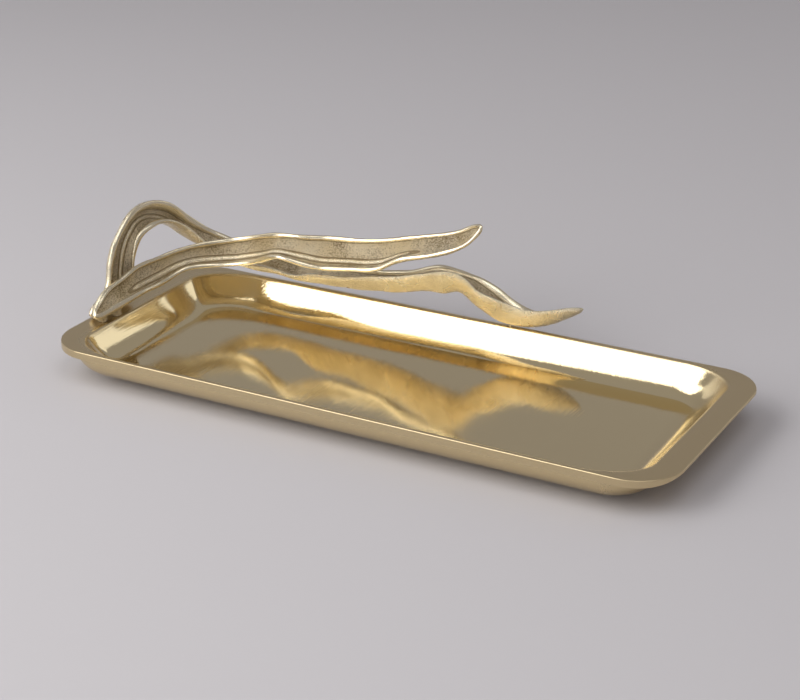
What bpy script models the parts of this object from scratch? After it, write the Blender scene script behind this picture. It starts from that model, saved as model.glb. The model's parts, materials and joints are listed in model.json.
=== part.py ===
"""Cast brass serving tray with a handle of two long leaves along its back edge.

The tray lies along X, its front faces -Y, and z = 0 is the surface that it stands on. The origin is the
centre of the felt under the base. The tray is one casting: a shallow basin with a narrow lip along each
long side and a wide flange at each end. Each leaf is a casting too, swept through hand-placed ribs. The
upper leaf is screwed to the left flange from beneath. The arched leaf is riveted to it at the root, pinned
to it where they cross, and pinned to the back lip.
"""

import math

import bmesh
import bpy
import numpy as np
from mathutils import Matrix, Vector

MM = 0.001
GAP = 0.3 * MM
SHARP_ANGLE = math.radians(40)

# Tray
LENGTH = 380 * MM
WIDTH = 150.8 * MM
CASTING_HEIGHT = 19.5 * MM
CORNER_RADIUS = 26.6 * MM
BASIN_DEPTH = 16 * MM
END_FLANGE = 15.3 * MM
SIDE_LIP = 3.1 * MM
MOUTH_CORNER = (35.6 * MM, 23.3 * MM)
FLOOR_CORNER = (17 * MM, 14 * MM)
INNER_WALL_RUN = 18.5 * MM
INNER_WALL_POWER = 2.2
FLANGE_REACH = 12 * MM
FLANGE_EDGE = 1.4 * MM
FLANGE_ROOT = 4 * MM
SIDE_EDGE = 4.5 * MM
EDGE_TAPER = 5
WALL_TAPER = 2
OUTER_WALL_RUN = 22.5 * MM
SIDE_WALL_POWER = 1.75
END_WALL_POWER = 1.75
BASE_CORNER = (12 * MM, 9 * MM)
EDGE_ROUND = 0.7 * MM
MOUTH_ROUND = 0.9 * MM
ROUND_MIDDLE = 0.3
CORNER_STEPS = 8
LONG_SIDE_STEPS = 10
SHORT_SIDE_STEPS = 4
WALL_STEPS = 9

# Felt under the flat of the base
FELT_THICKNESS = 1.2 * MM
FELT_MARGIN = 2.5 * MM

BASE_UNDERSIDE = FELT_THICKNESS + GAP
RIM_TOP = BASE_UNDERSIDE + CASTING_HEIGHT

# Leaves. One rib across a leaf is its near edge, its far edge, how deep its trough is and how thick the
# metal is. The edges are x, y and the height above the tray's rim. All of it is in millimetres.
UPPER_LEAF = (
    ((-178.0, -38.5, 3.4), (-182.5, -39.5, 6.3), 0.5, 6.0),
    ((-176.0, -30.5, 4.5), (-184.0, -31.0, 11.0), 2.0, 5.5),
    ((-174.5, -21.0, 6.0), (-183.8, -21.0, 16.5), 3.0, 5.0),
    ((-172.0, -11.0, 8.0), (-182.0, -10.0, 19.5), 3.5, 4.0),
    ((-170.5, 2.0, 9.0), (-180.0, 2.5, 23.0), 3.5, 3.4),
    ((-169.5, 18.0, 9.0), (-176.5, 17.0, 24.0), 3.5, 3.0),
    ((-165.0, 30.0, 12.5), (-171.5, 29.0, 25.5), 3.5, 3.0),
    ((-156.0, 42.5, 13.0), (-162.5, 44.5, 27.0), 4.0, 3.0),
    ((-142.0, 50.5, 14.0), (-149.0, 58.5, 28.0), 4.5, 3.0),
    ((-123.0, 50.5, 20.0), (-128.0, 61.0, 33.4), 4.0, 3.0),
    ((-106.0, 45.5, 26.6), (-107.0, 59.0, 38.0), 4.0, 3.0),
    ((-94.0, 49.0, 23.5), (-96.0, 62.5, 37.6), 4.5, 3.0),
    ((-79.0, 54.5, 21.2), (-85.0, 67.5, 37.4), 5.0, 3.0),
    ((-62.0, 56.5, 23.0), (-68.0, 70.5, 38.0), 5.0, 3.0),
    ((-47.0, 58.0, 25.4), (-52.0, 73.0, 39.8), 4.5, 3.0),
    ((-35.0, 59.5, 32.2), (-38.0, 73.5, 43.0), 3.5, 3.0),
    ((-21.0, 61.0, 36.4), (-22.0, 75.0, 46.8), 3.0, 3.0),
    ((-7.0, 63.0, 40.5), (-9.0, 76.0, 49.8), 2.5, 3.0),
    ((5.5, 65.0, 46.0), (2.0, 76.5, 54.0), 2.0, 2.8),
    ((12.0, 67.0, 51.5), (9.5, 75.5, 58.0), 1.2, 2.6),
    ((16.5, 69.8, 57.5), (15.5, 72.0, 60.0), 0.3, 2.4),
)
ARCHED_LEAF = (
    ((-188.0, -33.0, 0.5), (-188.0, -33.5, 4.5), 0.0, 3.6),
    ((-187.2, -22.0, 0.5), (-188.2, -24.0, 9.0), 0.5, 4.4),
    ((-186.5, -10.0, 0.5), (-188.2, -17.0, 13.0), 1.0, 4.6),
    ((-185.5, 0.0, 1.5), (-188.2, -14.5, 17.5), 1.5, 4.6),
    ((-184.5, 6.0, 11.0), (-188.5, -12.5, 24.0), 2.5, 4.4),
    ((-184.0, 7.5, 22.0), (-188.5, -9.5, 32.0), 3.0, 4.2),
    ((-183.5, 10.5, 31.5), (-188.5, -3.5, 40.5), 3.2, 4.0),
    ((-182.3, 15.0, 37.5), (-188.3, 6.5, 48.8), 4.5, 4.0),
    ((-180.5, 21.5, 41.0), (-187.8, 18.0, 53.8), 7.0, 4.0),
    ((-178.5, 29.0, 42.8), (-186.8, 31.0, 54.0), 8.5, 3.8),
    ((-175.5, 36.5, 41.5), (-184.0, 43.0, 50.2), 9.0, 3.6),
    ((-171.0, 45.5, 35.0), (-180.0, 52.3, 43.0), 9.0, 3.4),
    ((-165.2, 50.8, 26.8), (-174.0, 61.0, 33.4), 7.0, 3.2),
    ((-154.2, 56.1, 17.5), (-164.0, 70.5, 24.5), 6.0, 3.2),
    ((-141.5, 59.5, 12.5), (-150.0, 77.0, 18.5), 6.0, 3.2),
    ((-125.0, 64.0, 10.5), (-127.0, 80.0, 14.5), 6.0, 3.2),
    ((-107.0, 61.5, 10.0), (-106.0, 80.5, 13.0), 5.5, 3.0),
    ((-93.0, 57.5, 14.5), (-91.0, 81.0, 13.5), 7.0, 3.0),
    ((-70.0, 58.5, 16.8), (-67.0, 81.5, 15.0), 8.0, 3.0),
    ((-54.5, 58.3, 20.0), (-51.0, 82.0, 16.5), 9.0, 3.0),
    ((-36.0, 57.2, 23.5), (-35.0, 82.0, 20.0), 10.0, 3.0),
    ((-15.0, 55.4, 29.8), (-18.0, 82.0, 25.8), 11.5, 3.0),
    ((-3.0, 54.2, 33.5), (-8.0, 83.0, 25.7), 12.5, 3.0),
    ((5.5, 56.5, 33.6), (1.5, 83.0, 24.2), 10.0, 3.0),
    ((12.4, 59.4, 29.0), (8.5, 83.5, 23.0), 9.5, 3.0),
    ((17.5, 60.8, 23.8), (14.0, 84.0, 21.0), 10.0, 3.0),
    ((26.0, 62.0, 20.5), (21.0, 84.5, 17.5), 11.5, 3.0),
    ((35.0, 66.5, 16.5), (30.0, 85.5, 12.0), 11.5, 3.2),
    ((49.0, 69.8, 14.0), (44.0, 86.5, 6.5), 8.0, 3.4),
    ((59.0, 72.0, 15.4), (56.0, 86.5, 7.5), 5.5, 3.2),
    ((69.0, 78.0, 16.3), (67.0, 86.0, 11.0), 2.5, 3.0),
    ((75.5, 82.0, 16.0), (74.8, 84.0, 14.2), 0.2, 2.6),
)
LEAF_RINGS = {"upper_leaf": 64, "arched_leaf": 84}
LEAF_SECTION_POINTS = 16
LEAF_EDGE_FULLNESS = 0.55
ROOT_ROUNDING = 4 * MM
TIP_ROUNDING = 3 * MM
SMALLEST_END = 0.25

# Fasteners
# Each screw's x and y, then how high its boss and its own end reach above the rim, in millimetres.
SCREWS = {
    "front_root_screw": (-180.3, -31.0, 5.2, 5.8),
    "rear_root_screw": (-179.0, -20.0, 7.2, 8.2),
}
BOSS_RADIUS = 3 * MM
SCREW_RADIUS = 1.5 * MM
SCREW_HEAD_RADIUS = 2.8 * MM
SCREW_HEAD_HEIGHT = 1.6 * MM
SCREW_HEAD_EDGE = 0.2 * MM
SCREW_HOLE_LEAD = 1 * MM
SCREW_SLOT = (0.7 * MM, 0.6 * MM)
RIVET_RADIUS = 1.2 * MM
RIVET_HOLE_LEAD = 4 * MM
ROOT_RIVETS = {
    "front_root_rivet": ((-190.4, -25.0, 4.4), (-179.5, -25.0, 4.4)),
    "rear_root_rivet": ((-190.4, -12.0, 6.5), (-177.5, -12.0, 9.0)),
}
PIN_RADIUS = 0.8 * MM
CROSSING_PIN = ((-155.2, 52.9, 19.9), (-155.6, 58.5, 15.9))
RIM_PIN = ((33.5, 73.9, -4.0), (33.5, 73.9, 3.0))
ROUND_STEPS = 20

# Colours
BRASS = (0.78, 0.64, 0.40)
CAST_BRASS = (0.72, 0.57, 0.34)
STEEL = (0.55, 0.55, 0.56)
FELT = (0.05, 0.06, 0.05)


def clear_scene():
    for obj in list(bpy.data.objects):
        bpy.data.objects.remove(obj, do_unlink=True)


def material(name, colour, roughness, metallic):
    made = bpy.data.materials.new(name)
    made.use_nodes = True
    shader = made.node_tree.nodes["Principled BSDF"]
    shader.inputs["Base Color"].default_value = (*colour, 1)
    shader.inputs["Roughness"].default_value = roughness
    shader.inputs["Metallic"].default_value = metallic
    return made


def add_object(name, mesh_source, finish, parent):
    """Makes an object from a bmesh, with smooth shading that keeps its sharp edges."""
    bmesh.ops.recalc_face_normals(mesh_source, faces=mesh_source.faces)
    mesh = bpy.data.meshes.new(name)
    mesh_source.to_mesh(mesh)
    mesh_source.free()
    mesh.shade_smooth()
    mesh.set_sharp_from_angle(angle=SHARP_ANGLE)
    obj = bpy.data.objects.new(name, mesh)
    bpy.context.scene.collection.objects.link(obj)
    obj.parent = parent
    if finish:
        mesh.materials.append(finish)
    return obj


def skin(rings, closing_points=None):
    """A closed bmesh through rings of equal length. Its ends are flat, or run to the closing points."""
    made = bmesh.new()
    loops = [[made.verts.new(point) for point in ring] for ring in rings]
    count = len(rings[0])
    for lower, upper in zip(loops, loops[1:]):
        for place in range(count):
            after = (place + 1) % count
            made.faces.new((lower[place], lower[after], upper[after], upper[place]))
    if closing_points is None:
        made.faces.new(loops[0])
        made.faces.new(loops[-1])
        return made
    for loop, closing in zip((loops[0], loops[-1]), closing_points):
        centre = made.verts.new(closing)
        for place in range(count):
            made.faces.new((loop[place], loop[(place + 1) % count], centre))
    return made


def tray_outline(half_x, half_y, radius_x, radius_y):
    """Points of a rectangle with elliptical corners, each with how much it faces the tray's end, 0 to 1."""
    points = []
    signs = ((1, 1), (-1, 1), (-1, -1), (1, -1))
    for quarter, (sign_x, sign_y) in enumerate(signs):
        for step in range(CORNER_STEPS + 1):
            turn = math.radians(90) * (quarter + step / CORNER_STEPS)
            x = sign_x * (half_x - radius_x) + radius_x * math.cos(turn)
            y = sign_y * (half_y - radius_y) + radius_y * math.sin(turn)
            points.append((x, y, abs(math.cos(turn))))
        run_steps = LONG_SIDE_STEPS if quarter % 2 == 0 else SHORT_SIDE_STEPS
        next_x, next_y = signs[(quarter + 1) % 4]
        if quarter % 2 == 0:
            start, end = (x, y), (next_x * (half_x - radius_x), y)
        else:
            start, end = (x, y), (x, next_y * (half_y - radius_y))
        for step in range(1, run_steps):
            share = step / run_steps
            run = [a + (b - a) * share for a, b in zip(start, end)]
            points.append((*run, float(quarter % 2)))
    return points


def blended(start, end, share):
    return start + (end - start) * share


def tray_ring(inset_end, inset_side, corner, z_end, z_side, taper=WALL_TAPER):
    """One ring of the tray. Its height runs from z_side along the long sides to z_end at the ends."""
    outline = tray_outline(LENGTH / 2 - inset_end, WIDTH / 2 - inset_side, *corner)
    return [(x, y, RIM_TOP + blended(z_side, z_end, facing**taper)) for x, y, facing in outline]


def corner_between(first, second, share):
    return tuple(blended(a, b, share) for a, b in zip(first, second))


def wall_curve(share, start, power):
    """Inset and depth at a share of the way down an outer wall, steep at its start and level at the base."""
    fall = math.sin(math.radians(90) * share)
    inset = OUTER_WALL_RUN * (1 - (1 - fall**power) ** (1 / power))
    return inset, blended(start, CASTING_HEIGHT, fall)


def outer_rings():
    """From the flat of the base up the outer wall, and along the underside of the end flanges."""
    rim_corner = (CORNER_RADIUS, CORNER_RADIUS)
    rings = []
    for step in range(WALL_STEPS, -1, -1):
        share = step / WALL_STEPS
        end_inset, end_drop = wall_curve(share, FLANGE_ROOT, END_WALL_POWER)
        side_inset, side_drop = wall_curve(share, SIDE_EDGE, SIDE_WALL_POWER)
        corner = corner_between(rim_corner, BASE_CORNER, share)
        rings.append(tray_ring(FLANGE_REACH + end_inset, side_inset, corner, -end_drop, -side_drop))
    return rings


def rim_rings():
    """Round the rim's outer edge, across the flat top and round the mouth's edge."""
    corner = (CORNER_RADIUS, CORNER_RADIUS)
    softened = (CORNER_RADIUS - EDGE_ROUND, CORNER_RADIUS - EDGE_ROUND)
    middle = EDGE_ROUND * ROUND_MIDDLE
    return [
        tray_ring(0, 0, corner, -FLANGE_EDGE, EDGE_ROUND - SIDE_EDGE, EDGE_TAPER),
        tray_ring(0, 0, corner, -EDGE_ROUND, -EDGE_ROUND),
        tray_ring(middle, middle, corner, -middle, -middle),
        tray_ring(EDGE_ROUND, EDGE_ROUND, softened, 0, 0),
        tray_ring(END_FLANGE - MOUTH_ROUND, SIDE_LIP - MOUTH_ROUND, MOUTH_CORNER, 0, 0),
    ]


def inner_rings():
    """Down the inner wall to the floor, steep at the mouth and level where it meets the floor."""
    rings = []
    for step in range(WALL_STEPS + 1):
        share = step / WALL_STEPS
        run = INNER_WALL_RUN * share
        drop = BASIN_DEPTH * (1 - (1 - share) ** INNER_WALL_POWER)
        drop = max(drop, MOUTH_ROUND * ROUND_MIDDLE)
        corner = corner_between(MOUTH_CORNER, FLOOR_CORNER, share)
        rings.append(tray_ring(END_FLANGE + run, SIDE_LIP + run, corner, -drop, -drop))
    return rings


def add_tray(finish, parent):
    return add_object("tray", skin(outer_rings() + rim_rings() + inner_rings()), finish, parent)


def natural_spline(rows, count):
    """Evenly spaced values along natural cubics through the rows. Its first six columns are two edges."""
    middles = (rows[:, 0:3] + rows[:, 3:6]) / 2
    steps = np.linalg.norm(np.diff(middles, axis=0), axis=1)
    knots = np.concatenate([[0], np.cumsum(steps)])
    last = len(rows) - 1
    matrix = np.eye(len(rows))
    slopes = np.diff(rows, axis=0) / steps[:, None]
    target = np.zeros_like(rows)
    for row in range(1, last):
        matrix[row, row - 1 : row + 2] = steps[row - 1], 2 * (steps[row - 1] + steps[row]), steps[row]
        target[row] = 6 * (slopes[row] - slopes[row - 1])
    bends = np.linalg.solve(matrix, target)
    places = np.linspace(0, knots[-1], count)
    span = np.clip(np.searchsorted(knots, places, side="right") - 1, 0, last - 1)
    width = steps[span][:, None]
    left = (knots[span + 1] - places)[:, None] / width
    right = 1 - left
    curve = ((left**3 - left) * bends[span] + (right**3 - right) * bends[span + 1]) * width**2 / 6
    return left * rows[span] + right * rows[span + 1] + curve, places


def end_size(distance, rounding):
    """How large a section is near a rounded end, as a share of its full size."""
    if distance >= rounding:
        return 1.0
    return max(SMALLEST_END, math.sqrt(1 - (1 - distance / rounding) ** 2))


def leaf_section(near, far, dish, thickness, along):
    """The closed outline of one section: a bowed plate with rounded edges, open towards its face."""
    across = far - near
    width = np.linalg.norm(across)
    side = across / width
    face = np.cross(along, side)
    face /= np.linalg.norm(face)
    outline = []
    for turn in np.linspace(0, 2 * math.pi, LEAF_SECTION_POINTS, endpoint=False):
        share = 0.5 - 0.5 * math.cos(turn)
        bow = 2 * share - 1
        drop = dish * (1 - bow * bow)
        slope = -4 * dish * bow / width
        lean = math.hypot(slope, 1)
        half = math.copysign(thickness / 2 * abs(math.sin(turn)) ** LEAF_EDGE_FULLNESS, math.sin(turn))
        outward = share * width + half * slope / lean
        outline.append(near + side * outward + face * (half / lean - drop))
    return outline


def leaf_rings(ribs, count):
    """Sections along a leaf, smaller towards its rounded ends and flat where it lies on the rim."""
    rows = np.array([[*near, *far, dish, thickness] for near, far, dish, thickness in ribs]) * MM
    rows[:, (2, 5)] += RIM_TOP
    values, places = natural_spline(rows, count)
    middles = (values[:, 0:3] + values[:, 3:6]) / 2
    headings = np.gradient(middles, axis=0)
    rings = []
    for value, middle, heading, place in zip(values, middles, headings, places):
        size = end_size(place, ROOT_ROUNDING) * end_size(places[-1] - place, TIP_ROUNDING)
        near = middle + (value[0:3] - middle) * size
        far = middle + (value[3:6] - middle) * size
        ring = leaf_section(near, far, value[6] * size, value[7] * size, heading)
        rings.append([(x, y, max(z, RIM_TOP + GAP)) for x, y, z in ring])
    return rings


def add_leaf(name, ribs, finish, parent):
    rings = leaf_rings(ribs, LEAF_RINGS[name])
    centres = [np.mean(rings[0], axis=0), np.mean(rings[-1], axis=0)]
    return add_object(name, skin(rings, centres), finish, parent)


def turned(profile, steps=ROUND_STEPS):
    """A closed turned solid round Z, from (radius, z) pairs listed upwards."""
    turns = [2 * math.pi * step / steps for step in range(steps)]
    rings = [[(radius * math.cos(turn), radius * math.sin(turn), z) for turn in turns] for radius, z in profile]
    return skin(rings)


def along_line(start, end):
    """The matrix that stands a turned solid at the start, pointing at the end."""
    heading = (Vector(end) - Vector(start)).normalized()
    return Matrix.Translation(start) @ heading.to_track_quat("Z", "Y").to_matrix().to_4x4()


def change(target, operation, helper_mesh, placement, name):
    """Joins a helper to the target or cuts it away, as the operation says."""
    helper = add_object(name, helper_mesh, None, target.parent)
    helper.matrix_world = placement
    helper.hide_render = True
    helper.display_type = "WIRE"
    modifier = target.modifiers.new(name, "BOOLEAN")
    modifier.operation = operation
    modifier.solver = "EXACT"
    modifier.object = helper


def cut(target, cutter_mesh, placement, name):
    change(target, "DIFFERENCE", cutter_mesh, placement, name)


def flange_underside(x):
    """Height of an end flange's underside, which slopes from its edge to its root."""
    share = (LENGTH / 2 - abs(x)) / FLANGE_REACH
    return RIM_TOP - blended(FLANGE_EDGE, FLANGE_ROOT, share)


def add_root_screw(name, sizes, tray, leaf, finish, parent):
    """A countersunk screw up through the flange into a boss under the leaf's root."""
    x, y, boss_height, height = (value * MM for value in sizes)
    bottom = flange_underside(x)
    reach = RIM_TOP + height - bottom
    placement = Matrix.Translation((x, y, bottom))
    boss = turned([(BOSS_RADIUS, RIM_TOP + GAP - bottom), (BOSS_RADIUS, RIM_TOP + boss_height - bottom)])
    change(leaf, "UNION", boss, placement, f"{name}_boss")
    profile = [
        (SCREW_HEAD_RADIUS, 0),
        (SCREW_HEAD_RADIUS, SCREW_HEAD_EDGE),
        (SCREW_RADIUS, SCREW_HEAD_HEIGHT),
        (SCREW_RADIUS, reach),
    ]
    screw = add_object(name, turned(profile), finish, parent)
    screw.matrix_world = placement
    slot_width, slot_depth = SCREW_SLOT
    across_head = 2 * (SCREW_HEAD_RADIUS + GAP)
    slot = bmesh.new()
    bmesh.ops.create_cube(slot, size=1)
    bmesh.ops.scale(slot, vec=(slot_width, across_head, 2 * slot_depth), verts=slot.verts)
    cut(screw, slot, placement, f"{name}_slot")
    hole = [
        (SCREW_HEAD_RADIUS + GAP, -SCREW_HOLE_LEAD),
        (SCREW_HEAD_RADIUS + GAP, SCREW_HEAD_EDGE),
        (SCREW_RADIUS + GAP, SCREW_HEAD_HEIGHT + SCREW_HEAD_EDGE),
        (SCREW_RADIUS + GAP, reach + GAP),
    ]
    cut(tray, turned(hole), placement, f"{name}_flange_hole")
    cut(leaf, turned(hole[2:]), placement, f"{name}_leaf_hole")


def add_rod(name, ends, radius, hole_lead, targets, finish, parent):
    """A plain round rod between two points, with a hole for it in each target."""
    start, end = (Vector((x * MM, y * MM, RIM_TOP + z * MM)) for x, y, z in ends)
    length = (end - start).length
    placement = along_line(start, end)
    rod = add_object(name, turned([(radius, 0), (radius, length)]), finish, parent)
    rod.matrix_world = placement
    clear = radius + GAP
    for target in targets:
        hole = turned([(clear, -hole_lead), (clear, length + GAP)])
        cut(target, hole, placement, f"{name}_{target.name}_hole")


def add_felt(finish, parent):
    """A sheet of felt under the flat of the base, a little smaller than the flat."""
    inset_end = FLANGE_REACH + OUTER_WALL_RUN + FELT_MARGIN
    inset_side = OUTER_WALL_RUN + FELT_MARGIN
    outline = tray_outline(LENGTH / 2 - inset_end, WIDTH / 2 - inset_side, *BASE_CORNER)
    rings = [[(x, y, z) for x, y, _ in outline] for z in (0, FELT_THICKNESS)]
    return add_object("felt_base", skin(rings), finish, parent)


def main():
    clear_scene()
    root = bpy.data.objects.new("tray_frame", None)
    bpy.context.scene.collection.objects.link(root)
    polished = material("polished_brass", BRASS, 0.18, 1.0)
    cast = material("cast_brass", CAST_BRASS, 0.42, 1.0)
    steel = material("screw_steel", STEEL, 0.35, 1.0)
    felt = material("felt", FELT, 0.95, 0.0)
    tray = add_tray(polished, root)
    upper = add_leaf("upper_leaf", UPPER_LEAF, cast, root)
    arched = add_leaf("arched_leaf", ARCHED_LEAF, cast, root)
    for name, sizes in SCREWS.items():
        add_root_screw(name, sizes, tray, upper, steel, root)
    for name, ends in ROOT_RIVETS.items():
        add_rod(name, ends, RIVET_RADIUS, RIVET_HOLE_LEAD, (upper, arched), cast, root)
    add_rod("crossing_pin", CROSSING_PIN, PIN_RADIUS, GAP, (upper, arched), cast, root)
    add_rod("rim_pin", RIM_PIN, PIN_RADIUS, GAP, (tray, arched), cast, root)
    add_felt(felt, root)


main()
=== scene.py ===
"""Looks of the brass tray with a leaf handle: fine surfaces, brass materials, a plain studio and a camera.

The fine tray and leaves follow the CAD's own construction with many more steps. They add what the CAD
leaves out: rounded edges, raised rims and ribs, and the uneven surface of sand castings.
"""

import json
import math

import bmesh
import bpy
import numpy as np
from mathutils import Matrix, Vector, noise


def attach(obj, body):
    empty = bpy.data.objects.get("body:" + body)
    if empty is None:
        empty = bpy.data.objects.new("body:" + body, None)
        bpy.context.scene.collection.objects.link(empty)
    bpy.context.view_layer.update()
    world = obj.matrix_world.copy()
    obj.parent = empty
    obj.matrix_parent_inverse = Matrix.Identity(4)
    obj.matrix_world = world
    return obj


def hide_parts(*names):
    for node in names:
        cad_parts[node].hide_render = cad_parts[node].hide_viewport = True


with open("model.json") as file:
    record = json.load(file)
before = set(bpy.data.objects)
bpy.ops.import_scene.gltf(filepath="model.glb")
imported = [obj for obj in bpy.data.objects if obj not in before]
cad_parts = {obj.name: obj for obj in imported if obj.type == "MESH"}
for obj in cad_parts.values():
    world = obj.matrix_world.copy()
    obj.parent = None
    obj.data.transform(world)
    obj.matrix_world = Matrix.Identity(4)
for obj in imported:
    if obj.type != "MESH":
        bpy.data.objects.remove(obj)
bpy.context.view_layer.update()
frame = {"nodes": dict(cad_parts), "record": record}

MM = 0.001
GAP = 0.3 * MM
SHARP_ANGLE = math.radians(40)
QUARTER_TURN = math.radians(90)

# Tray, as the CAD makes it
LENGTH = 380 * MM
WIDTH = 150.8 * MM
CASTING_HEIGHT = 19.5 * MM
CORNER_RADIUS = 26.6 * MM
BASIN_DEPTH = 16 * MM
END_FLANGE = 15.3 * MM
SIDE_LIP = 3.1 * MM
MOUTH_CORNER = (35.6 * MM, 23.3 * MM)
FLOOR_CORNER = (17 * MM, 14 * MM)
INNER_WALL_RUN = 18.5 * MM
INNER_WALL_POWER = 2.2
FLANGE_REACH = 12 * MM
FLANGE_EDGE = 1.4 * MM
FLANGE_ROOT = 4 * MM
SIDE_EDGE = 4.5 * MM
EDGE_TAPER = 5
WALL_TAPER = 2
OUTER_WALL_RUN = 22.5 * MM
SIDE_WALL_POWER = 1.75
END_WALL_POWER = 1.75
BASE_CORNER = (12 * MM, 9 * MM)
BASE_UNDERSIDE = 1.5 * MM
RIM_TOP = BASE_UNDERSIDE + CASTING_HEIGHT

# Fine steps and edges of the tray
EDGE_ROUND = 0.4 * MM
MOUTH_ROUND = 1.4 * MM
ROUND_STEPS = 6
CORNER_STEPS = 28
LONG_SIDE_STEPS = 60
SHORT_SIDE_STEPS = 20
OUTER_WALL_STEPS = 26
INNER_WALL_STEPS = 40
FLANGE_STEPS = 3

# How polished each band of the tray is: 0 is satin and 1 is a mirror. Its right end is only satin.
OUTER_POLISH = 0.25
RIM_POLISH = 0.1
FLANGE_POLISH = 0.0
MOUTH_POLISH = 0.3
BASIN_POLISH = 1.0
HOLE_POLISH = 0.5
RIGHT_END_START = 150 * MM
RIGHT_END_BLEND = 20 * MM
RIGHT_END_SATIN = 0.9

# Leaves, as the CAD makes them: near edge, far edge, trough depth and thickness, in millimetres. Heights are
# above the rim.
UPPER_LEAF = (
    ((-178.0, -38.5, 3.4), (-182.5, -39.5, 6.3), 0.5, 6.0),
    ((-176.0, -30.5, 4.5), (-184.0, -31.0, 11.0), 2.0, 5.5),
    ((-174.5, -21.0, 6.0), (-183.8, -21.0, 16.5), 3.0, 5.0),
    ((-172.0, -11.0, 8.0), (-182.0, -10.0, 19.5), 3.5, 4.0),
    ((-170.5, 2.0, 9.0), (-180.0, 2.5, 23.0), 3.5, 3.4),
    ((-169.5, 18.0, 9.0), (-176.5, 17.0, 24.0), 3.5, 3.0),
    ((-165.0, 30.0, 12.5), (-171.5, 29.0, 25.5), 3.5, 3.0),
    ((-156.0, 42.5, 13.0), (-162.5, 44.5, 27.0), 4.0, 3.0),
    ((-142.0, 50.5, 14.0), (-149.0, 58.5, 28.0), 4.5, 3.0),
    ((-123.0, 50.5, 20.0), (-128.0, 61.0, 33.4), 4.0, 3.0),
    ((-106.0, 45.5, 26.6), (-107.0, 59.0, 38.0), 4.0, 3.0),
    ((-94.0, 49.0, 23.5), (-96.0, 62.5, 37.6), 4.5, 3.0),
    ((-79.0, 54.5, 21.2), (-85.0, 67.5, 37.4), 5.0, 3.0),
    ((-62.0, 56.5, 23.0), (-68.0, 70.5, 38.0), 5.0, 3.0),
    ((-47.0, 58.0, 25.4), (-52.0, 73.0, 39.8), 4.5, 3.0),
    ((-35.0, 59.5, 32.2), (-38.0, 73.5, 43.0), 3.5, 3.0),
    ((-21.0, 61.0, 36.4), (-22.0, 75.0, 46.8), 3.0, 3.0),
    ((-7.0, 63.0, 40.5), (-9.0, 76.0, 49.8), 2.5, 3.0),
    ((5.5, 65.0, 46.0), (2.0, 76.5, 54.0), 2.0, 2.8),
    ((12.0, 67.0, 51.5), (9.5, 75.5, 58.0), 1.2, 2.6),
    ((16.5, 69.8, 57.5), (15.5, 72.0, 60.0), 0.3, 2.4),
)
ARCHED_LEAF = (
    ((-188.0, -33.0, 0.5), (-188.0, -33.5, 4.5), 0.0, 3.6),
    ((-187.2, -22.0, 0.5), (-188.2, -24.0, 9.0), 0.5, 4.4),
    ((-186.5, -10.0, 0.5), (-188.2, -17.0, 13.0), 1.0, 4.6),
    ((-185.5, 0.0, 1.5), (-188.2, -14.5, 17.5), 1.5, 4.6),
    ((-184.5, 6.0, 11.0), (-188.5, -12.5, 24.0), 2.5, 4.4),
    ((-184.0, 7.5, 22.0), (-188.5, -9.5, 32.0), 3.0, 4.2),
    ((-183.5, 10.5, 31.5), (-188.5, -3.5, 40.5), 3.2, 4.0),
    ((-182.3, 15.0, 37.5), (-188.3, 6.5, 48.8), 4.5, 4.0),
    ((-180.5, 21.5, 41.0), (-187.8, 18.0, 53.8), 7.0, 4.0),
    ((-178.5, 29.0, 42.8), (-186.8, 31.0, 54.0), 8.5, 3.8),
    ((-175.5, 36.5, 41.5), (-184.0, 43.0, 50.2), 9.0, 3.6),
    ((-171.0, 45.5, 35.0), (-180.0, 52.3, 43.0), 9.0, 3.4),
    ((-165.2, 50.8, 26.8), (-174.0, 61.0, 33.4), 7.0, 3.2),
    ((-154.2, 56.1, 17.5), (-164.0, 70.5, 24.5), 6.0, 3.2),
    ((-141.5, 59.5, 12.5), (-150.0, 77.0, 18.5), 6.0, 3.2),
    ((-125.0, 64.0, 10.5), (-127.0, 80.0, 14.5), 6.0, 3.2),
    ((-107.0, 61.5, 10.0), (-106.0, 80.5, 13.0), 5.5, 3.0),
    ((-93.0, 57.5, 14.5), (-91.0, 81.0, 13.5), 7.0, 3.0),
    ((-70.0, 58.5, 16.8), (-67.0, 81.5, 15.0), 8.0, 3.0),
    ((-54.5, 58.3, 20.0), (-51.0, 82.0, 16.5), 9.0, 3.0),
    ((-36.0, 57.2, 23.5), (-35.0, 82.0, 20.0), 10.0, 3.0),
    ((-15.0, 55.4, 29.8), (-18.0, 82.0, 25.8), 11.5, 3.0),
    ((-3.0, 54.2, 33.5), (-8.0, 83.0, 25.7), 12.5, 3.0),
    ((5.5, 56.5, 33.6), (1.5, 83.0, 24.2), 10.0, 3.0),
    ((12.4, 59.4, 29.0), (8.5, 83.5, 23.0), 9.5, 3.0),
    ((17.5, 60.8, 23.8), (14.0, 84.0, 21.0), 10.0, 3.0),
    ((26.0, 62.0, 20.5), (21.0, 84.5, 17.5), 11.5, 3.0),
    ((35.0, 66.5, 16.5), (30.0, 85.5, 12.0), 11.5, 3.2),
    ((49.0, 69.8, 14.0), (44.0, 86.5, 6.5), 8.0, 3.4),
    ((59.0, 72.0, 15.4), (56.0, 86.5, 7.5), 5.5, 3.2),
    ((69.0, 78.0, 16.3), (67.0, 86.0, 11.0), 2.5, 3.0),
    ((75.5, 82.0, 16.0), (74.8, 84.0, 14.2), 0.2, 2.6),
)
ROOT_ROUNDING = 4 * MM
TIP_ROUNDING = 3 * MM
SMALLEST_END = 0.12

# Columns of a leaf's rows, as arrays
NEAR = slice(0, 3)
FAR = slice(3, 6)
DISH = 6
THICKNESS = 7
HEIGHTS = (2, 5)

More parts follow.
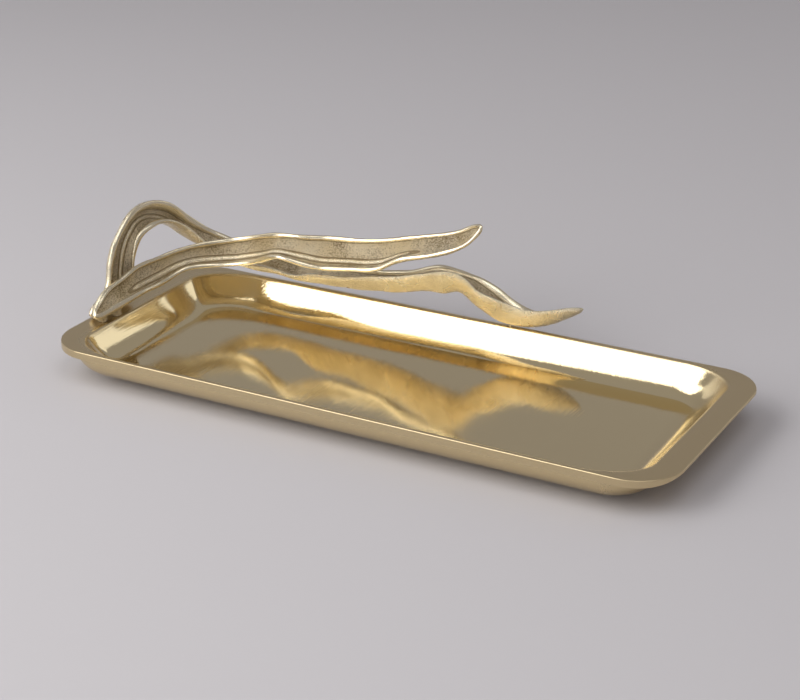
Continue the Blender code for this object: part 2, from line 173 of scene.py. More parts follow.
# Fine steps and relief of the leaves. Rib places are shares of the width, rib ends and fades of the length.
LEAF_RINGS = {"upper_leaf": 560, "arched_leaf": 760}
EDGE_POINTS = 9
FACE_POINTS = 56
BACK_POINTS = 22
MOST_THICKNESS = 0.95
RIM_BEAD = 1.3 * MM
RIM_FALL = 1.5 * MM
NARROW_LEAF = 4 * RIM_BEAD
RECESS = 0.8 * MM
RIB_WIDTH = 1.6 * MM
RIB_HEIGHT = 1.1 * MM
RIB_PLACE = {"upper_leaf": 0.33, "arched_leaf": 0.5}
RIB_ENDS = {"upper_leaf": (0.10, 0.78), "arched_leaf": (0.04, 0.36)}
RIB_FADE_IN = 0.05
RIB_FADE_OUT = 0.08
UNEVEN_SCALE = 90
UNEVEN_HEIGHT = 0.5 * MM
CAST_SCALE = 700
CAST_HEIGHT = 0.18 * MM

# How polished a leaf is: its raised rims are 1 and its recessed face is 0. The groove beside a rim is where
# the polish is within the spread of its mark.
RIB_POLISH = 0.6
BACK_POLISH = 0.34
GROOVE_MARK = 0.16
GROOVE_SPREAD = 0.11

# Screws under the root: x and y, then how high the boss reaches above the rim, in millimetres
SCREWS = {"front_root_screw": (-180.3, -31.0, 5.2), "rear_root_screw": (-179.0, -20.0, 7.2)}
BOSS_RADIUS = 3 * MM
SCREW_RADIUS = 1.5 * MM
SCREW_HEAD_RADIUS = 2.8 * MM
SCREW_HEAD_HEIGHT = 1.6 * MM
SCREW_HEAD_EDGE = 0.2 * MM
SCREW_HOLE_LEAD = 1 * MM
TURNED_STEPS = 48

# Looks. Colours are linear. The scale or stretch of a noise is its number of features per metre. A pair of
# roughnesses, strengths or darknesses is what a noise or a mark of 0 and of 1 gives. A bump is a depth in
# metres and a strength.
BRASS = (0.82, 0.69, 0.425)
BRASS_SHADE = (0.66, 0.53, 0.30)
SATIN_BRASS = (0.65, 0.52, 0.31)
TRAY_CLOUD_SCALE = 35
TRAY_CLOUD_SHADE = 0.12
WAVE_SCALE = 28
WAVE_DETAIL = 1
WAVE_BUMP = (0.0006, 0.25)
STREAK_STRETCH = (900, 60, 900)
STREAK_DETAIL = 3
STREAK_BUMP = (0.00010, 0.5)
SATIN_STRETCH = (1400, 1400, 1400)
SATIN_DETAIL = 2
SATIN_DEPTH = 0.00002
SATIN_STRENGTH = (0.5, 0.0)
SATIN_ROUGHNESS = (0.27, 0.37)
POLISHED_ROUGHNESS = (0.04, 0.09)

CAST_BRASS = (0.77, 0.65, 0.43)
CAST_SILVER = (0.86, 0.77, 0.60)
RIM_BRASS = (0.83, 0.74, 0.54)
CAST_RECESS = (0.25, 0.175, 0.08)
SILVER_SCALE = 45
SILVER_DETAIL = 1
SILVER_LIMITS = (0.35, 0.72)
CAST_CLOUD_SCALE = 60
CAST_CLOUD_DARKNESS = (-0.95, 1.05)
CAST_CLOUD_ROUGHNESS = 0.10
PIT_SCALE = 1250
PIT_DETAIL = 3
PIT_NOISE_ROUGHNESS = 0.6
PIT_LEVEL = 0.54
PIT_CONTRAST = 3.4
PIT_DEPTH = 0.0009
PIT_STRENGTH = (0.10, 0.95)
GRAIN_SCALE = 1900
GRAIN_DETAIL = 3
GRAIN_NOISE_ROUGHNESS = 0.7
GRAIN_DEPTH = 0.0010
GRAIN_STRENGTH = (0.10, 1.00)
GROOVE_DARKNESS = 0.8
RIM_COLOUR_SHARE = 0.8
CAST_ROUGHNESS = (0.13, 0.27)

STEEL = (0.48, 0.48, 0.49)
STEEL_SHADE = (0.36, 0.36, 0.37)
STEEL_STRETCH = (2500, 300, 300)
STEEL_DETAIL = 3
STEEL_ROUGHNESS = (0.25, 0.45)
STEEL_BUMP = (0.00005, 0.3)

FELT = (0.012, 0.013, 0.012)
FELT_FIBRE = (0.05, 0.05, 0.045)
FIBRE_SCALE = 1800
FIBRE_DETAIL = 4
FIBRE_NOISE_ROUGHNESS = 0.7
FIBRE_BUMP = (0.0004, 0.8)
FELT_ROUGHNESS = 0.95
FELT_SHEEN = 0.25

FLOOR = (0.55, 0.53, 0.54)
FLOOR_FLECK = (0.5, 0.5, 0.5)
FLECK_SCALE = 220
FLECK_DETAIL = 3
FLECK_SHARE = 0.05
FLOOR_ROUGHNESS = 0.75
FLOOR_SPECULAR = 0.25

# Studio
FLOOR_RADIUS = 2.6
COVE_RADIUS = 0.9
COVE_GLOW = 0.45
COVE_STEPS = 24
COVE_SIDES = 96
SURROUND_LEVEL = (0.30, 0.29, 0.30)
SURROUND_OVERHEAD = (0.35, 0.34, 0.35)
CAMERA_PLACE = (0.4832, -0.8535, 0.4496)
CAMERA_AZIMUTH = math.radians(29.4306)
CAMERA_ELEVATION = math.radians(23.3057)
CAMERA_ROLL = -0.009064
CAMERA_LENS = 86.58
CAMERA_SENSOR = 36

# Softboxes: place, point they aim at, width and height in metres, then the radiance of their face
SOFTBOXES = {
    "front_softbox": ((-0.72, -1.17, 0.82), (0, 0, 0), 1.3, 1.04, 3.4),
    "top_softbox": ((-0.72, -0.56, 1.31), (0, 0, 0), 1.3, 0.72, 2.1),
    "left_softbox": ((-1.4, 0.15, 0.75), (0, 0, 0), 0.8, 0.7, 0.6),
    "back_softbox": ((0.65, 1.36, 0.73), (0, 0, 0), 0.7, 0.5, 0.7),
    "low_softbox": ((0.45, -1.6, 0.45), (0, 0, 0.02), 1.6, 0.5, 0.9),
    "overhead_softbox": ((0.7, -0.5, 1.9), (0.2, -0.1, 0), 1.2, 1.2, 1.5),
}


# ---------------------------------------------------------------- meshes


def make_object(name, source, finish):
    """Makes an object from a bmesh, with smooth shading that keeps its sharp edges."""
    bmesh.ops.recalc_face_normals(source, faces=source.faces)
    mesh = bpy.data.meshes.new(name)
    source.to_mesh(mesh)
    source.free()
    mesh.shade_smooth()
    mesh.set_sharp_from_angle(angle=SHARP_ANGLE)
    mesh.materials.append(finish)
    obj = bpy.data.objects.new(name, mesh)
    bpy.context.scene.collection.objects.link(obj)
    return obj


def skin(rings, marks, closing_points=None):
    """A closed bmesh through rings of equal length. The marks become its points' "polish" attribute."""
    made = bmesh.new()
    polish = made.verts.layers.float.new("polish")
    loops = []
    for ring, ring_marks in zip(rings, marks):
        loop = [made.verts.new(point) for point in ring]
        for vert, mark in zip(loop, ring_marks):
            vert[polish] = mark
        loops.append(loop)
    count = len(rings[0])
    for lower, upper in zip(loops, loops[1:]):
        for place in range(count):
            after = (place + 1) % count
            made.faces.new((lower[place], lower[after], upper[after], upper[place]))
    if closing_points is None:
        made.faces.new(loops[0])
        made.faces.new(loops[-1])
        return made
    for end, closing in zip((0, -1), closing_points):
        loop = loops[end]
        centre = made.verts.new(closing)
        centre[polish] = marks[end][0]
        for place in range(count):
            made.faces.new((loop[place], loop[(place + 1) % count], centre))
    return made


def blended(start, end, share):
    return start + (end - start) * share


def eased(share):
    """A soft step from 0 to 1, for numbers and for arrays."""
    share = np.clip(share, 0, 1)
    return share * share * (3 - 2 * share)


# ---------------------------------------------------------------- tray


def tray_outline(half_x, half_y, radius_x, radius_y):
    """Points of a rectangle with elliptical corners, each with how much it faces the tray's end, 0 to 1."""
    points = []
    signs = ((1, 1), (-1, 1), (-1, -1), (1, -1))
    for quarter, (sign_x, sign_y) in enumerate(signs):
        for step in range(CORNER_STEPS + 1):
            turn = QUARTER_TURN * (quarter + step / CORNER_STEPS)
            x = sign_x * (half_x - radius_x) + radius_x * math.cos(turn)
            y = sign_y * (half_y - radius_y) + radius_y * math.sin(turn)
            points.append((x, y, abs(math.cos(turn))))
        next_x, next_y = signs[(quarter + 1) % 4]
        if quarter % 2 == 0:
            end_x, end_y, run_steps, facing = next_x * (half_x - radius_x), y, LONG_SIDE_STEPS, 0.0
        else:
            end_x, end_y, run_steps, facing = x, next_y * (half_y - radius_y), SHORT_SIDE_STEPS, 1.0
        for step in range(1, run_steps):
            share = step / run_steps
            points.append((blended(x, end_x, share), blended(y, end_y, share), facing))
    return points


def tray_ring(inset_end, inset_side, corner, z_end, z_side, taper=WALL_TAPER):
    """One ring of the tray. Its height runs from z_side along the long sides to z_end at the ends."""
    outline = tray_outline(LENGTH / 2 - inset_end, WIDTH / 2 - inset_side, *corner)
    return [(x, y, RIM_TOP + blended(z_side, z_end, facing**taper)) for x, y, facing in outline]


def corner_between(first, second, share):
    return tuple(blended(a, b, share) for a, b in zip(first, second))


def wall_curve(share, start, power):
    """Inset and depth at a share of the way down an outer wall, steep at its start and level at the base."""
    fall = math.sin(QUARTER_TURN * share)
    inset = OUTER_WALL_RUN * (1 - (1 - fall**power) ** (1 / power))
    return inset, blended(start, CASTING_HEIGHT, fall)


def outer_rings():
    """From the flat of the base up the outer wall, and along the underside of the end flanges."""
    rim_corner = (CORNER_RADIUS, CORNER_RADIUS)
    rings = []
    for step in range(OUTER_WALL_STEPS, -1, -1):
        share = step / OUTER_WALL_STEPS
        end_inset, end_drop = wall_curve(share, FLANGE_ROOT, END_WALL_POWER)
        side_inset, side_drop = wall_curve(share, SIDE_EDGE, SIDE_WALL_POWER)
        corner = corner_between(rim_corner, BASE_CORNER, share)
        rings.append(tray_ring(FLANGE_REACH + end_inset, side_inset, corner, -end_drop, -side_drop))
    return rings


def rim_rings():
    """Round the rim's outer edge and across the flat top towards the mouth."""
    corner = (CORNER_RADIUS, CORNER_RADIUS)
    rings = [
        tray_ring(0, 0, corner, -FLANGE_EDGE, EDGE_ROUND - SIDE_EDGE, EDGE_TAPER),
        tray_ring(0, 0, corner, blended(-FLANGE_EDGE, -EDGE_ROUND, 0.5), -SIDE_EDGE / 2, EDGE_TAPER),
    ]
    for step in range(ROUND_STEPS + 1):
        turn = QUARTER_TURN * step / ROUND_STEPS
        inset = EDGE_ROUND * (1 - math.cos(turn))
        drop = EDGE_ROUND * (1 - math.sin(turn))
        radius = CORNER_RADIUS - inset
        rings.append(tray_ring(inset, inset, (radius, radius), -drop, -drop))
    for step in range(1, FLANGE_STEPS):
        share = step / FLANGE_STEPS
        rings.append(
            tray_ring(
                blended(EDGE_ROUND, END_FLANGE - MOUTH_ROUND, share),
                blended(EDGE_ROUND, SIDE_LIP - MOUTH_ROUND, share),
                corner_between(corner, MOUTH_CORNER, share),
                0,
                0,
            )
        )
    return rings


def inner_drop(run):
    """Depth of the inner wall at a distance in from the mouth."""
    return BASIN_DEPTH * (1 - (1 - run / INNER_WALL_RUN) ** INNER_WALL_POWER)


def inner_rings():
    """Round the mouth's edge and down the inner wall to the floor."""
    end_run = MOUTH_ROUND / 2
    end_drop = inner_drop(end_run)
    profile = []
    for step in range(ROUND_STEPS + 1):
        share = step / ROUND_STEPS
        run = -MOUTH_ROUND * (1 - share) ** 2 + end_run * share**2
        profile.append((run, end_drop * share**2))
    for step in range(1, INNER_WALL_STEPS + 1):
        run = blended(end_run, INNER_WALL_RUN, step / INNER_WALL_STEPS)
        profile.append((run, inner_drop(run)))
    rings = []
    for run, drop in profile:
        corner = corner_between(MOUTH_CORNER, FLOOR_CORNER, max(run, 0) / INNER_WALL_RUN)
        rings.append(tray_ring(END_FLANGE + run, SIDE_LIP + run, corner, -drop, -drop))
    return rings


def circle(radius, z, sides):
    """Points of a level circle round Z."""
    turns = [2 * math.pi * side / sides for side in range(sides)]
    return [(radius * math.cos(turn), radius * math.sin(turn), z) for turn in turns]


def turned(profile):
    """A closed turned bmesh round Z, from (radius, z) pairs listed upwards."""
    rings = [circle(radius, z, TURNED_STEPS) for radius, z in profile]
    return skin(rings, [[HOLE_POLISH] * TURNED_STEPS] * len(rings))


def flange_underside(x):
    """Height of an end flange's underside, which slopes from its edge to its root."""
    share = (LENGTH / 2 - abs(x)) / FLANGE_REACH
    return RIM_TOP - blended(FLANGE_EDGE, FLANGE_ROOT, share)


def cut(target, cutter_mesh, placement, name):
    """Cuts the helper away from the target and bakes the result into the target's mesh."""
    cutter = make_object(name, cutter_mesh, target.data.materials[0])
    cutter.matrix_world = placement
    modifier = target.modifiers.new(name, "BOOLEAN")
    modifier.operation = "DIFFERENCE"
    modifier.solver = "MANIFOLD"
    modifier.object = cutter
    bpy.context.view_layer.update()
    graph = bpy.context.evaluated_depsgraph_get()
    baked = bpy.data.meshes.new_from_object(target.evaluated_get(graph))
    target.modifiers.clear()
    target.data = baked
    baked.set_sharp_from_angle(angle=SHARP_ANGLE)
    bpy.data.objects.remove(cutter, do_unlink=True)


def right_end_polish(x):
    """Share of the polish that is left at x: the tray's right end is only satin."""
    return 1 - RIGHT_END_SATIN * float(eased((x - RIGHT_END_START) / RIGHT_END_BLEND))


def add_tray(finish):
    outer, rim, inner = outer_rings(), rim_rings(), inner_rings()
    rings = outer + rim + inner
    bands = (
        (OUTER_POLISH, len(outer)),
        (RIM_POLISH, len(rim) - FLANGE_STEPS),
        (FLANGE_POLISH, FLANGE_STEPS),
        (MOUTH_POLISH, ROUND_STEPS + 1),
        (BASIN_POLISH, INNER_WALL_STEPS),
    )
    ring_polish = [polish for polish, count in bands for _ in range(count)]
    marks = [[polish * right_end_polish(x) for x, _, _ in ring] for polish, ring in zip(ring_polish, rings)]
    tray = make_object("fine_tray", skin(rings, marks), finish)
    for name, (x, y, _) in SCREWS.items():
        bottom = flange_underside(x * MM)
        hole = [
            (SCREW_HEAD_RADIUS + GAP, -SCREW_HOLE_LEAD),
            (SCREW_HEAD_RADIUS + GAP, SCREW_HEAD_EDGE),
            (SCREW_RADIUS + GAP, SCREW_HEAD_HEIGHT + SCREW_HEAD_EDGE),
            (SCREW_RADIUS + GAP, RIM_TOP - bottom + SCREW_HOLE_LEAD),
        ]
        cut(tray, turned(hole), Matrix.Translation((x * MM, y * MM, bottom)), f"{name}_hole")
    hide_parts("tray")
    return tray


# ---------------------------------------------------------------- leaves


def natural_spline(rows, count):
    """Evenly spaced values along natural cubics through a leaf's rows, and their places along it."""
    middles = (rows[:, NEAR] + rows[:, FAR]) / 2
    steps = np.linalg.norm(np.diff(middles, axis=0), axis=1)
    knots = np.concatenate([[0], np.cumsum(steps)])
    last = len(rows) - 1
    matrix = np.eye(len(rows))
    slopes = np.diff(rows, axis=0) / steps[:, None]
    target = np.zeros_like(rows)
    for row in range(1, last):
        matrix[row, row - 1 : row + 2] = steps[row - 1], 2 * (steps[row - 1] + steps[row]), steps[row]
        target[row] = 6 * (slopes[row] - slopes[row - 1])
    bends = np.linalg.solve(matrix, target)
    places = np.linspace(0, knots[-1], count)
    span = np.clip(np.searchsorted(knots, places, side="right") - 1, 0, last - 1)
    width = steps[span][:, None]
    left = (knots[span + 1] - places)[:, None] / width
    right = 1 - left
    curve = ((left**3 - left) * bends[span] + (right**3 - right) * bends[span + 1]) * width**2 / 6
    return left * rows[span] + right * rows[span + 1] + curve, places


def end_size(distance, rounding):
    """How large a section is near a rounded end, as a share of its full size."""
    if distance >= rounding:
        return 1.0
    return max(SMALLEST_END, math.sqrt(1 - (1 - distance / rounding) ** 2))


def across_places(width, thickness, points):
    """Distances across a leaf from its near edge, close together round both edges."""
    edge = thickness / 2
    turns = np.linspace(0, QUARTER_TURN, EDGE_POINTS, endpoint=False)
    near = edge * (1 - np.cos(turns))
    middle = np.linspace(edge, width - edge, points)
    return np.concatenate([near, middle, width - near[::-1]])


def half_thickness(places, width, thickness):
    """Half the metal's thickness across a leaf whose edges are full rounds."""
    inside = np.minimum(np.minimum(places, width - places), thickness / 2)
    return np.sqrt(np.maximum(inside * (thickness - inside), 0))


def face_relief(places, width, rib_place, rib_size):
    """Height of the visible face over a plain plate, and how polished it is: raised rims and a rib."""
    edge = np.minimum(places, width - places)
    rim = 1 - eased((edge - RIM_BEAD) / RIM_FALL)
    rib = rib_size * np.exp(-(((places - rib_place * width) / RIB_WIDTH) ** 2))
    room = eased((width - NARROW_LEAF) / NARROW_LEAF)
    height = -RECESS * room * (1 - rim) + RIB_HEIGHT * room * rib
    return height, np.maximum(rim, RIB_POLISH * rib)


def leaf_section(near, far, dish, thickness, along, rib_place, rib_size):
    """The closed outline of one section, as points and how polished each is."""
    across = far - near
    width = np.linalg.norm(across)
    side = across / width
    face = np.cross(along, side)
    face /= np.linalg.norm(face)
    thickness = min(thickness, MOST_THICKNESS * width)
    outline, marks = [], []
    for sign, points in ((1, FACE_POINTS), (-1, BACK_POINTS)):
        places = across_places(width, thickness, points)
        bow = 2 * places / width - 1
        slope = -4 * dish * bow / width
        lean = np.hypot(slope, 1)
        half = half_thickness(places, width, thickness)
        if sign > 0:
            relief, polish = face_relief(places, width, rib_place, rib_size)
        else:
            relief, polish = 0 * places, BACK_POLISH + 0 * places
        rise = sign * (half + relief * np.minimum(1, 2 * half / thickness))
        outward = places + rise * slope / lean
        upward = rise / lean - dish * (1 - bow * bow)
        part = near + outward[:, None] * side + upward[:, None] * face
        if sign < 0:
            part, polish = part[::-1][1:-1], polish[::-1][1:-1]
        outline.append(part)
        marks.append(polish)
    return np.concatenate(outline), np.concatenate(marks)


def leaf_rings(name, ribs):
    """Fine sections along a leaf, with its relief and the marks for its polish."""
    rows = np.array([[*near, *far, dish, thickness] for near, far, dish, thickness in ribs]) * MM
    rows[:, HEIGHTS] += RIM_TOP
    values, places = natural_spline(rows, LEAF_RINGS[name])
    middles = (values[:, NEAR] + values[:, FAR]) / 2
    headings = np.gradient(middles, axis=0)
    rib_start, rib_end = RIB_ENDS[name]
    shares = places / places[-1]
    rib_sizes = eased((shares - rib_start) / RIB_FADE_IN)
    rib_sizes *= 1 - eased((shares - rib_end) / RIB_FADE_OUT)
    rings, marks = [], []
    for value, middle, heading, place, rib_size in zip(values, middles, headings, places, rib_sizes):
        size = end_size(place, ROOT_ROUNDING) * end_size(places[-1] - place, TIP_ROUNDING)
        near = middle + (value[NEAR] - middle) * size
        far = middle + (value[FAR] - middle) * size
        dish, thickness = value[DISH] * size, value[THICKNESS] * size
        ring, ring_marks = leaf_section(near, far, dish, thickness, heading, RIB_PLACE[name], rib_size)
        rings.append(ring)
        marks.append(ring_marks)
    return np.array(rings), np.array(marks)


def noise_at(points, scale):
    """Blender's noise at each point, with features 1 / scale metres wide."""
    return np.array([noise.noise(Vector(point)) for point in points * scale])


def cast_surface(obj):
    """Pushes a leaf's points along their normals: broad unevenness, and a fine grain away from its rims."""
    mesh = obj.data
    count = len(mesh.vertices)
    marks, points, normals = np.empty(count), np.empty(3 * count), np.empty(3 * count)
    mesh.attributes["polish"].data.foreach_get("value", marks)
    mesh.vertices.foreach_get("co", points)
    mesh.vertex_normals.foreach_get("vector", normals)
    points, normals = points.reshape(-1, 3), normals.reshape(-1, 3)
    rise = noise_at(points, UNEVEN_SCALE) * UNEVEN_HEIGHT
    rise += noise_at(points, CAST_SCALE) * CAST_HEIGHT * (1 - marks)
    points += normals * rise[:, None]
    points[:, 2] = np.maximum(points[:, 2], RIM_TOP + GAP)
    mesh.vertices.foreach_set("co", points.ravel())
    mesh.update()


def add_boss(source, x, y, height):
    """Adds a screw boss to a leaf's bmesh, from just over the rim into the metal."""
    matrix = Matrix.Translation((x, y, RIM_TOP + (GAP + height) / 2))
    bmesh.ops.create_cone(
        source,
        segments=TURNED_STEPS,
        radius1=BOSS_RADIUS,
        radius2=BOSS_RADIUS,
        depth=height - GAP,
        cap_ends=True,
        matrix=matrix,
    )


def add_leaf(name, ribs, finish):
    rings, marks = leaf_rings(name, ribs)
    source = skin(rings, marks, [rings[0].mean(axis=0), rings[-1].mean(axis=0)])
    if name == "upper_leaf":
        for x, y, height in SCREWS.values():
            add_boss(source, x * MM, y * MM, height * MM)
    leaf = make_object(f"fine_{name}", source, finish)
    cast_surface(leaf)
    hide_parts(name)
    return leaf


# ---------------------------------------------------------------- materials


class Graph:
    """Adds nodes to a material or a world, and joins them."""

    # A Mix node's factor and its two inputs, for numbers and for colours, and where a mixed colour comes out
    NUMBER_SOCKETS = (0, 2, 3)
    COLOUR_SOCKETS = (0, 6, 7)
    COLOUR_RESULT = 2

    def __init__(self, owner):
        owner.use_nodes = True
        self.tree = owner.node_tree
        self.nodes = owner.node_tree.nodes

    def set(self, socket, value):
        if isinstance(value, bpy.types.NodeSocket):
            self.tree.links.new(value, socket)
        elif isinstance(value, tuple) and socket.type == "RGBA":
            socket.default_value = (*value, 1)
        else:
            socket.default_value = value

    def fill(self, name, inputs):
        """Sets inputs of the node that has this name."""
        for socket, value in inputs.items():
            self.set(self.nodes[name].inputs[socket], value)

    def add(self, kind, inputs, **settings):
        node = self.nodes.new(kind)
        for name, value in settings.items():
            setattr(node, name, value)
        self.fill(node.name, inputs)
        return node

    def math(self, operation, first, second, third=0.0):
        inputs = {0: first, 1: second, 2: third}
        return self.add("ShaderNodeMath", inputs, operation=operation).outputs[0]

    def ranged(self, share, ends):
        """The first end where the share is 0, and the second where it is 1."""
        return self.math("MULTIPLY_ADD", share, ends[1] - ends[0], ends[0])

    def held(self, value, limits, ends=(0.0, 1.0)):
        """Maps a value from its limits to the ends, and holds it at an end beyond its limits."""
        names = ("Value", "From Min", "From Max", "To Min", "To Max")
        inputs = dict(zip(names, (value, *limits, *ends)))
        return self.add("ShaderNodeMapRange", inputs).outputs[0]

    def blend(self, share, first, second):
        """Mixes two numbers."""
        inputs = dict(zip(self.NUMBER_SOCKETS, (share, first, second)))
        return self.add("ShaderNodeMix", inputs).outputs[0]

    def mix(self, share, first, second):
        """Mixes two colours."""
        inputs = dict(zip(self.COLOUR_SOCKETS, (share, first, second)))
        return self.add("ShaderNodeMix", inputs, data_type="RGBA").outputs[self.COLOUR_RESULT]

    def polish(self):
        """The mesh's own marks, from 0 to 1."""
        return self.add("ShaderNodeAttribute", {}, attribute_name="polish").outputs["Fac"]

    def stretched(self, scale):
        """The object's own coordinates, scaled along each axis."""
        place = self.add("ShaderNodeTexCoord", {}).outputs["Object"]
        return self.add("ShaderNodeMapping", {"Vector": place, "Scale": scale}).outputs[0]

    def noise(self, vector, scale, detail=2.0, roughness=0.5):
        inputs = {"Vector": vector, "Scale": scale, "Detail": detail, "Roughness": roughness}
        return self.add("ShaderNodeTexNoise", inputs).outputs["Fac"]

    def bump(self, height, distance, strength, normal=None):
        inputs = {"Height": height, "Distance": distance, "Strength": strength}
        if normal is not None:
            inputs["Normal"] = normal
        return self.add("ShaderNodeBump", inputs).outputs[0]


def new_material(name):
    made = bpy.data.materials.new(name)
    return made, Graph(made)


def fill_metal(graph, colour, roughness, normal):
    inputs = {"Base Color": colour, "Metallic": 1.0, "Roughness": roughness, "Normal": normal}
    graph.fill("Principled BSDF", inputs)


def tray_brass():
    """Brass that is polished where the mesh is marked as polished, and satin elsewhere."""
    made, graph = new_material("tray_brass")
    polish = graph.polish()
    place = graph.stretched((1, 1, 1))
    cloud = graph.noise(place, TRAY_CLOUD_SCALE)
    wave = graph.noise(place, WAVE_SCALE, WAVE_DETAIL)
    streaks = graph.noise(graph.stretched(STREAK_STRETCH), 1, STREAK_DETAIL)
    satin = graph.noise(graph.stretched(SATIN_STRETCH), 1, SATIN_DETAIL)
    colour = graph.mix(polish, SATIN_BRASS, BRASS)
    colour = graph.mix(graph.math("MULTIPLY", cloud, TRAY_CLOUD_SHADE), colour, BRASS_SHADE)
    rough_satin = graph.ranged(satin, SATIN_ROUGHNESS)
    rough_polished = graph.ranged(cloud, POLISHED_ROUGHNESS)
    roughness = graph.blend(polish, rough_satin, rough_polished)
    normal = graph.bump(wave, *WAVE_BUMP)
    normal = graph.bump(streaks, *STREAK_BUMP, normal)
    normal = graph.bump(satin, SATIN_DEPTH, graph.ranged(polish, SATIN_STRENGTH), normal)
    fill_metal(graph, colour, roughness, normal)
    return made


def cast_brass():
    """Sand-cast brass: grainy, darker in pits and beside its rims, and bright where the mesh is polished."""
    made, graph = new_material("cast_brass")
    polish = graph.polish()
    unpolished = graph.math("SUBTRACT", 1.0, polish)
    groove = graph.math("COMPARE", polish, GROOVE_MARK, GROOVE_SPREAD)
    place = graph.stretched((1, 1, 1))
    grain = graph.noise(place, GRAIN_SCALE, GRAIN_DETAIL, GRAIN_NOISE_ROUGHNESS)
    pits = graph.noise(place, PIT_SCALE, PIT_DETAIL, PIT_NOISE_ROUGHNESS)
    cloud = graph.noise(place, CAST_CLOUD_SCALE)
    silver = graph.held(graph.noise(place, SILVER_SCALE, SILVER_DETAIL), SILVER_LIMITS)
    dark = graph.math("MULTIPLY", graph.math("SUBTRACT", PIT_LEVEL, pits), PIT_CONTRAST)
    dark = graph.math("ADD", dark, graph.ranged(cloud, CAST_CLOUD_DARKNESS))
    dark = graph.math("MULTIPLY", graph.math("MAXIMUM", dark, 0.0), unpolished)
    dark = graph.math("MULTIPLY_ADD", groove, GROOVE_DARKNESS, dark)
    dark = graph.math("MINIMUM", dark, 1.0)
    colour = graph.mix(dark, graph.mix(silver, CAST_BRASS, CAST_SILVER), CAST_RECESS)
    colour = graph.mix(graph.math("MULTIPLY", polish, RIM_COLOUR_SHARE), colour, RIM_BRASS)
    roughness = graph.ranged(unpolished, CAST_ROUGHNESS)
    roughness = graph.math("MULTIPLY_ADD", cloud, CAST_CLOUD_ROUGHNESS, roughness)
    normal = graph.bump(pits, PIT_DEPTH, graph.ranged(unpolished, PIT_STRENGTH))
    normal = graph.bump(grain, GRAIN_DEPTH, graph.ranged(unpolished, GRAIN_STRENGTH), normal)
    fill_metal(graph, colour, roughness, normal)
    return made


def screw_steel():
    made, graph = new_material("screw_steel")
    lines = graph.noise(graph.stretched(STEEL_STRETCH), 1, STEEL_DETAIL)
    colour = graph.mix(lines, STEEL, STEEL_SHADE)
    fill_metal(graph, colour, graph.ranged(lines, STEEL_ROUGHNESS), graph.bump(lines, *STEEL_BUMP))
    return made


def felt():
    made, graph = new_material("felt")
    place = graph.stretched((1, 1, 1))
    fibres = graph.noise(place, FIBRE_SCALE, FIBRE_DETAIL, FIBRE_NOISE_ROUGHNESS)
    inputs = {
        "Base Color": graph.mix(fibres, FELT, FELT_FIBRE),
        "Roughness": FELT_ROUGHNESS,
        "Sheen Weight": FELT_SHEEN,
        "Normal": graph.bump(fibres, *FIBRE_BUMP),
    }
    graph.fill("Principled BSDF", inputs)
    return made


def studio_floor():
    """Plain paper with faint flecks. It glows a little where the cove rises."""
    made, graph = new_material("studio_floor")
    place = graph.stretched((1, 1, 1))
    fleck = graph.math("MULTIPLY", graph.noise(place, FLECK_SCALE, FLECK_DETAIL), FLECK_SHARE)
    height = graph.add("ShaderNodeSeparateXYZ", {"Vector": place}).outputs["Z"]
    inputs = {
        "Base Color": graph.mix(fleck, FLOOR, FLOOR_FLECK),
        "Roughness": FLOOR_ROUGHNESS,
        "Specular IOR Level": FLOOR_SPECULAR,
        "Emission Color": FLOOR,
        "Emission Strength": graph.held(height, (0.0, COVE_RADIUS), (0.0, COVE_GLOW)),
    }
    graph.fill("Principled BSDF", inputs)
    return made


# ---------------------------------------------------------------- studio


def add_cove(finish):
    """A round floor whose rim sweeps up all round, so that every view has a plain background."""
    profile = [(FLOOR_RADIUS, 0.0)]
    for step in range(1, COVE_STEPS + 1):
        turn = QUARTER_TURN * step / COVE_STEPS
        radius = FLOOR_RADIUS + COVE_RADIUS * math.sin(turn)
        profile.append((radius, COVE_RADIUS * (1 - math.cos(turn))))
    made = bmesh.new()
    centre = made.verts.new((0, 0, 0))
    loops = [[made.verts.new(point) for point in circle(radius, z, COVE_SIDES)] for radius, z in profile]
    for side in range(COVE_SIDES):
        after = (side + 1) % COVE_SIDES
        made.faces.new((centre, loops[0][side], loops[0][after]))
        for lower, upper in zip(loops, loops[1:]):
            made.faces.new((lower[side], upper[side], upper[after], lower[after]))
    cove = make_object("studio_floor", made, finish)
    cove.data.flip_normals()


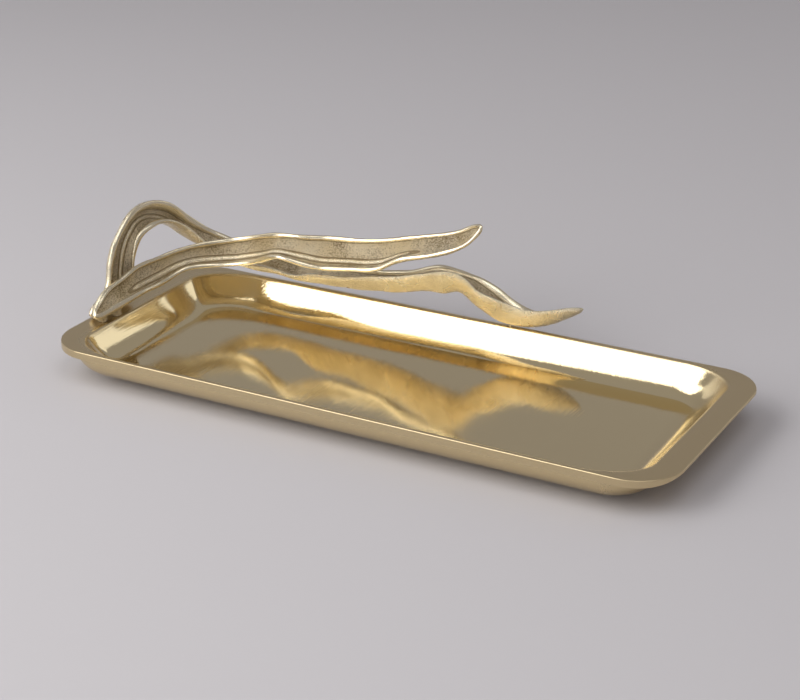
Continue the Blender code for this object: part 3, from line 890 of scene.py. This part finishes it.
def add_softbox(name, place, aim, width, height, radiance):
    """An area light that the metal reflects. Its power is worked out from how bright its face is."""
    light = bpy.data.lights.new(name, "AREA")
    light.shape = "RECTANGLE"
    light.size = width
    light.size_y = height
    light.energy = radiance * math.pi * width * height
    obj = bpy.data.objects.new(name, light)
    bpy.context.scene.collection.objects.link(obj)
    obj.location = place
    obj.rotation_mode = "QUATERNION"
    obj.rotation_quaternion = (Vector(aim) - Vector(place)).to_track_quat("-Z", "Y")
    obj.visible_camera = False


def add_world():
    """A grey surround, a little brighter overhead than at eye level."""
    world = bpy.data.worlds.new("studio_surround")
    bpy.context.scene.world = world
    graph = Graph(world)
    direction = graph.add("ShaderNodeTexCoord", {}).outputs["Generated"]
    rise = graph.add("ShaderNodeSeparateXYZ", {"Vector": direction}).outputs["Z"]
    colour = graph.mix(graph.held(rise, (0.0, 1.0)), SURROUND_LEVEL, SURROUND_OVERHEAD)
    graph.fill("Background", {"Color": colour, "Strength": 1.0})


def add_camera():
    camera = bpy.data.cameras.new("camera")
    camera.lens = CAMERA_LENS
    camera.sensor_width = CAMERA_SENSOR
    obj = bpy.data.objects.new("camera", camera)
    bpy.context.scene.collection.objects.link(obj)
    turn, tilt = CAMERA_AZIMUTH, CAMERA_ELEVATION
    back = Vector((math.sin(turn) * math.cos(tilt), -math.cos(turn) * math.cos(tilt), math.sin(tilt)))
    level_right = Vector((math.cos(turn), math.sin(turn), 0))
    level_up = back.cross(level_right)
    right = level_right * math.cos(CAMERA_ROLL) + level_up * math.sin(CAMERA_ROLL)
    up = level_up * math.cos(CAMERA_ROLL) - level_right * math.sin(CAMERA_ROLL)
    obj.matrix_world = Matrix.Translation(CAMERA_PLACE) @ Matrix((right, up, back)).transposed().to_4x4()
    bpy.context.scene.camera = obj


def main():
    bpy.context.scene.view_settings.view_transform = "Standard"
    cast = cast_brass()
    tray = add_tray(tray_brass())
    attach(tray, "root")
    for name, ribs in (("upper_leaf", UPPER_LEAF), ("arched_leaf", ARCHED_LEAF)):
        leaf = add_leaf(name, ribs, cast)
        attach(leaf, "root")
    finishes = {"screw_steel": screw_steel(), "felt": felt(), "cast_brass": cast}
    for part in frame["record"]["subparts"]:
        if part["material_slot"] in finishes:
            frame["nodes"][part["node"]].material_slots[0].material = finishes[part["material_slot"]]
    add_cove(studio_floor())
    add_world()
    for name, settings in SOFTBOXES.items():
        add_softbox(name, *settings)
    add_camera()


main()
